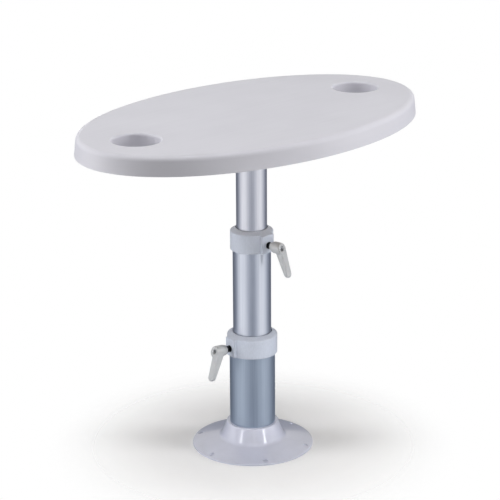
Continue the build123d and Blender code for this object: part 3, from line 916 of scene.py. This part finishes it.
@dataclass(frozen=True)
class Softbox:
    """A soft lamp that faces the pole at the height aim, in metres, degrees and watts."""

    name: str
    bearing: float
    rise: float
    distance: float
    width: float
    tall: float
    power: float
    aim: float = 0.4
    spread: float = 180.0
    mirrored: bool = True

    def hang(self, level: Vector) -> None:
        """Hang the lamp.

        Args:
            level: Level direction from the pole to the lamp.
        """
        rise = math.radians(self.rise)
        toward = level * math.cos(rise) + Vector((0, 0, math.sin(rise)))
        data = bpy.data.lights.new(self.name, "AREA")
        data.shape, data.size, data.size_y = "RECTANGLE", self.width, self.tall
        data.energy, data.spread = self.power, math.radians(self.spread)
        lamp = bpy.data.objects.new(self.name, data)
        lamp.location = Vector((0, 0, self.aim)) + toward * self.distance
        lamp.rotation_mode = "QUATERNION"
        lamp.rotation_quaternion = toward.to_track_quat("Z", "Y")
        lamp.visible_glossy = self.mirrored
        bpy.context.scene.collection.objects.link(lamp)


@dataclass(frozen=True)
class Card:
    """A glowing sheet round the pole that only reflections see, in metres and degrees: it paints reflection
    bands and highlights.

    Its stops give a bearing and the tone there. Dark tones take the colour shade, and full ones the
    colour bright. Where only names a node, no other piece mirrors the card.
    """

    name: str
    stops: tuple[tuple[float, float], ...]
    radius: float
    low: float
    high: float
    shade: str = "D8E6FF"
    bright: str = "FFFFFF"
    only: str = ""

    def stand(self, bearing: Callable[[float], Vector]) -> None:
        """Stand the card up.

        Args:
            bearing: Gives the level direction for an angle.
        """
        points, faces, tones = [], [], []
        for angle, tone in self.stops:
            level = bearing(angle) * self.radius
            points += [(level.x, level.y, self.low), (level.x, level.y, self.high)]
            tones += [tone, tone]
        for step in range(len(self.stops) - 1):
            faces.append((2 * step, 2 * step + 2, 2 * step + 3, 2 * step + 1))
        mesh = bpy.data.meshes.new(self.name)
        mesh.from_pydata(points, [], faces)
        mesh.attributes.new("Tone", "FLOAT", "POINT").data.foreach_set("value", tones)
        card = bpy.data.objects.new(self.name, mesh)
        card.data.materials.append(self.material())
        bpy.context.scene.collection.objects.link(card)
        for ray in ("camera", "diffuse", "shadow", "transmission"):
            setattr(card, f"visible_{ray}", False)
        if self.only:
            shown = bpy.data.collections.new(f"{self.name}_mirror")
            shown.objects.link(frame["nodes"][self.only])
            card.light_linking.receiver_collection = shown

    def material(self) -> bpy.types.Material:
        """Make a glow whose strength follows the card's tones.

        Returns:
            The new material.
        """
        made = bpy.data.materials.new(self.name)
        tree = bare_tree(made)
        tone = add_node(tree, "ShaderNodeAttribute", attribute_name="Tone").outputs["Fac"]
        colours = {MIX_FACTOR: tone, COLOUR_A: srgb(self.shade), COLOUR_B: srgb(self.bright)}
        tint = add_node(tree, "ShaderNodeMix", colours, data_type="RGBA").outputs[COLOUR_RESULT]
        glow = add_node(tree, "ShaderNodeEmission", {"Color": tint, "Strength": tone})
        add_node(tree, "ShaderNodeOutputMaterial", {"Surface": glow.outputs["Emission"]})
        return made


# Tones of the low glowing sheet by bearing, seen only in reflections: it paints on each tube two soft
# bright bands with a darker middle and edges.
TUBE_BAND_GLOW_TONES = (
    (-180.0, 0.22), (-130.0, 0.22), (-108.0, 0.38), (-92.0, 0.76), (-72.0, 1.14), (-50.0, 1.14),
    (-34.0, 0.9), (-14.0, 0.48), (3.0, 0.31), (16.0, 0.44), (34.0, 0.8), (50.0, 1.08),
    (76.0, 1.1), (94.0, 0.74), (110.0, 0.42), (130.0, 0.22), (180.0, 0.22),
)
# Tones of the glowing sheet behind the table, seen only in reflections: it paints the far side of the
# base's disc darker and bluer.
DISC_SHADE_GLOW_TONES = ((104.0, 0.9), (128.0, 0.3), (180.0, 0.26), (232.0, 0.3), (256.0, 0.9))
# Bright glowing strips on both sides, which only the base mirrors: they paint the two narrow highlight
# streaks on the base's neck.
RIGHT_HIGHLIGHT_TONES = ((42.0, 15.0), (51.0, 15.0))
LEFT_HIGHLIGHT_TONES = ((-48.0, 15.0), (-40.0, 15.0))


@dataclass
class Studio:
    """Floor, light and camera, in metres and, for the camera, radians."""

    camera_place: tuple[float, float, float] = (-2.5531, -2.7328, 1.652)
    camera_turn: float = 0.7505
    camera_pitch: float = 0.3218
    camera_roll: float = -0.005781
    camera_near: float = 0.1
    camera_far: float = 60.0
    focal_pixels: float = 2026.0
    frame_pixels: float = 500.0
    sensor_mm: float = 36.0
    floor_level: float = -0.0004
    floor_half: float = 9.0
    floor_solid: float = 0.12
    floor_clear: float = 0.42
    sky_level: float = 0.03
    lamps: tuple[Softbox, ...] = (
        Softbox("Top_softbox", bearing=0.0, rise=76.0, distance=2.6, width=3.4, tall=3.4, power=56.0),
        Softbox(
            "Right_softbox", bearing=83.0, rise=10.0, distance=2.6, width=0.8, tall=1.6, power=10.6,
            aim=0.7, spread=80.0, mirrored=False,
        ),
        Softbox(
            "Left_softbox", bearing=-86.0, rise=10.0, distance=2.6, width=1.1, tall=1.6, power=11.6,
            aim=0.7, spread=80.0, mirrored=False,
        ),
        Softbox(
            "Base_softbox", bearing=0.0, rise=14.0, distance=1.8, width=0.8, tall=0.3, power=0.4,
            aim=0.1, spread=32.0, mirrored=False,
        ),
        Softbox(
            "Collar_softbox", bearing=4.0, rise=0.0, distance=1.8, width=0.5, tall=0.3, power=0.19,
            aim=0.33, spread=21.0, mirrored=False,
        ),
    )
    # Glowing sheets that only reflections see: they paint the tubes' bright bands, the base disc's darker
    # far side and the two highlight streaks on the neck.
    cards: tuple[Card, ...] = (
        Card("Tube_band_glow", TUBE_BAND_GLOW_TONES, radius=4.5, low=-5.0, high=-0.3),
        Card("Disc_shade_glow", DISC_SHADE_GLOW_TONES, radius=4.5, low=-0.3, high=0.9, shade="B8CEFF"),
        Card("Right_highlight_strip", RIGHT_HIGHLIGHT_TONES, radius=1.65, low=0.4, high=0.58, only="base_flange"),
        Card("Left_highlight_strip", LEFT_HIGHLIGHT_TONES, radius=1.65, low=0.4, high=0.58, only="base_flange"),
    )

    def build(self) -> None:
        """Set up the floor, the backdrop, the lamps, the cards and the camera."""
        self.add_floor()
        self.add_sky()
        for lamp in self.lamps:
            lamp.hang(self.bearing(lamp.bearing))
        for card in self.cards:
            card.stand(self.bearing)
        self.add_camera()
        bpy.context.scene.view_settings.view_transform = "Standard"

    def away(self) -> Vector:
        """Return the level direction in which the camera looks."""
        return Vector((math.sin(self.camera_turn), math.cos(self.camera_turn), 0))

    def right(self) -> Vector:
        """Return the level direction to the right of the picture."""
        return Vector((math.cos(self.camera_turn), -math.sin(self.camera_turn), 0))

    def bearing(self, degrees: float) -> Vector:
        """Return the level direction that lies some degrees right of the way to the camera."""
        turn = math.radians(degrees)
        return self.right() * math.sin(turn) - self.away() * math.cos(turn)

    def add_floor(self) -> None:
        """Lay the floor just under the base."""
        half, level = self.floor_half, self.floor_level
        corners = [(-half, -half, level), (half, -half, level), (half, half, level), (-half, half, level)]
        mesh = bpy.data.meshes.new("Floor")
        mesh.from_pydata(corners, [], [(0, 1, 2, 3)])
        floor = bpy.data.objects.new("Floor", mesh)
        bpy.context.scene.collection.objects.link(floor)
        floor.data.materials.append(self.floor_material())
        floor.visible_glossy = False

    def floor_material(self) -> bpy.types.Material:
        """Make the floor's finish, which fades into the white backdrop for the camera.

        Returns:
            A material that is whole near the base and clear from below and far away.
        """
        made = FLOOR.material()
        tree = made.node_tree
        place = add_node(tree, "ShaderNodeTexCoord").outputs["Object"]
        reach = add_node(tree, "ShaderNodeVectorMath", {0: place}, operation="LENGTH").outputs["Value"]
        fade = add_node(
            tree,
            "ShaderNodeMapRange",
            {"Value": reach, "From Min": self.floor_solid, "From Max": self.floor_clear},
            interpolation_type="SMOOTHSTEP",
        )
        below = add_node(tree, "ShaderNodeNewGeometry").outputs["Backfacing"]
        either = {0: fade.outputs["Result"], 1: below}
        clear = add_node(tree, "ShaderNodeMath", either, operation="MAXIMUM").outputs[0]
        eye = add_node(tree, "ShaderNodeLightPath").outputs["Is Camera Ray"]
        share = add_node(tree, "ShaderNodeMath", {0: clear, 1: eye}, operation="MULTIPLY").outputs[0]
        glass = add_node(tree, "ShaderNodeBsdfTransparent").outputs["BSDF"]
        solid = tree.nodes["Principled BSDF"].outputs["BSDF"]
        mixed = add_node(tree, "ShaderNodeMixShader", {0: share, 1: solid, 2: glass})
        tree.links.new(mixed.outputs["Shader"], tree.nodes["Material Output"].inputs["Surface"])
        return made

    def add_sky(self) -> None:
        """Light the room evenly and show a white backdrop to the eye and in reflections."""
        world = bpy.data.worlds.new("Studio")
        bpy.context.scene.world = world
        tree = bare_tree(world)
        rays = add_node(tree, "ShaderNodeLightPath").outputs
        seen = rays["Is Camera Ray"]
        for ray in ("Is Glossy Ray", "Is Transmission Ray"):
            seen = add_node(tree, "ShaderNodeMath", {0: seen, 1: rays[ray]}, operation="MAXIMUM").outputs[0]
        values = {"Value": seen, "To Min": self.sky_level, "To Max": 1.0}
        level = add_node(tree, "ShaderNodeMapRange", values).outputs["Result"]
        back = add_node(tree, "ShaderNodeBackground", {"Color": srgb("FFFFFF"), "Strength": level})
        add_node(tree, "ShaderNodeOutputWorld", {"Surface": back.outputs["Background"]})

    def add_camera(self) -> None:
        """Put the camera where the photograph was taken from."""
        right = self.right()
        look = self.away() * math.cos(self.camera_pitch) - Vector((0, 0, math.sin(self.camera_pitch)))
        top = right.cross(look)
        cos_roll, sin_roll = math.cos(self.camera_roll), math.sin(self.camera_roll)
        side = right * cos_roll + top * sin_roll
        over = top * cos_roll - right * sin_roll
        data = bpy.data.cameras.new("Camera")
        data.sensor_width = self.sensor_mm
        data.lens = self.focal_pixels / self.frame_pixels * self.sensor_mm
        data.clip_start, data.clip_end = self.camera_near, self.camera_far
        camera = bpy.data.objects.new("Camera", data)
        axes = Matrix((side, over, -look)).transposed().to_4x4()
        camera.matrix_world = Matrix.Translation(Vector(self.camera_place)) @ axes
        bpy.context.scene.collection.objects.link(camera)
        bpy.context.scene.camera = camera


def main() -> None:
    """Build the studio and every sub-assembly."""
    logging.basicConfig(level=logging.INFO, format="%(name)s %(message)s")
    Studio().build()
    FloorBase().build()
    Pole().build()
    for stage in Stage:
        Clamp(stage).build()
    TablePlate().build()


if __name__ == "__main__":
    main()
